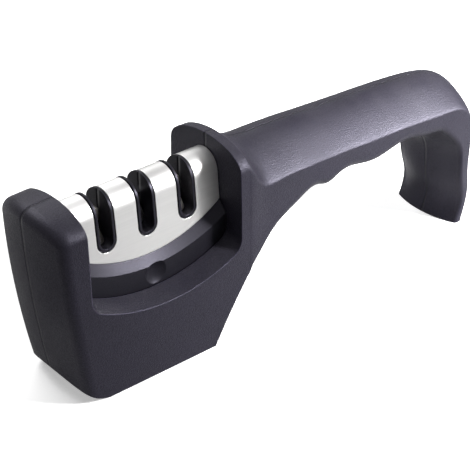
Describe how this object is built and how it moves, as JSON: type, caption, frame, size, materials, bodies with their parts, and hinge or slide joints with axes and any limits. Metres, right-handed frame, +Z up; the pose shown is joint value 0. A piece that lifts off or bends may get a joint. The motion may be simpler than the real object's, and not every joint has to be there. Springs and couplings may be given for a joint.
{
  "type": "pull through knife sharpener",
  "caption": "Hand-held pull-through knife sharpener: a handle with a heel leg, and a steel-covered sharpening cartridge with knife slots that lifts out of its pocket.",
  "frame": {"origin": "middle of the underside of the object's box", "axes": "+X from the nose to the heel of the handle, +Y across, +Z up"},
  "size_m": [0.2124, 0.0418, 0.0801],
  "materials": {
    "body_plastic": "satin charcoal moulding",
    "frame_plastic": "glossy black moulding",
    "cover_steel": "satin stainless",
    "pad_rubber": "soft non-slip",
    "screw_steel": "plated",
    "diamond": "diamond grit plated",
    "carbide": "ground tungsten carbide",
    "ceramic": "fine fired ceramic"
  },
  "bodies": {
    "handle_body": {"body_left": "body_plastic", "body_right": "body_plastic", "body_screws": "screw_steel", "base_pad": "pad_rubber"},
    "cartridge": {"cartridge_cover": "cover_steel", "cartridge_frame_left": "frame_plastic", "cartridge_frame_right": "frame_plastic", "diamond_rod_left": "diamond", "diamond_rod_right": "diamond", "carbide_blade_left": "carbide", "carbide_blade_right": "carbide", "ceramic_rod_left": "ceramic", "ceramic_rod_right": "ceramic", "blade_screws": "screw_steel", "cartridge_screws": "screw_steel"}
  },
  "joints": [
    {"name": "cartridge_lift", "type": "slide", "parent": "handle_body", "child": "cartridge", "axis": [0, 0, 1], "range_m": [0, 0.056]}
  ]
}
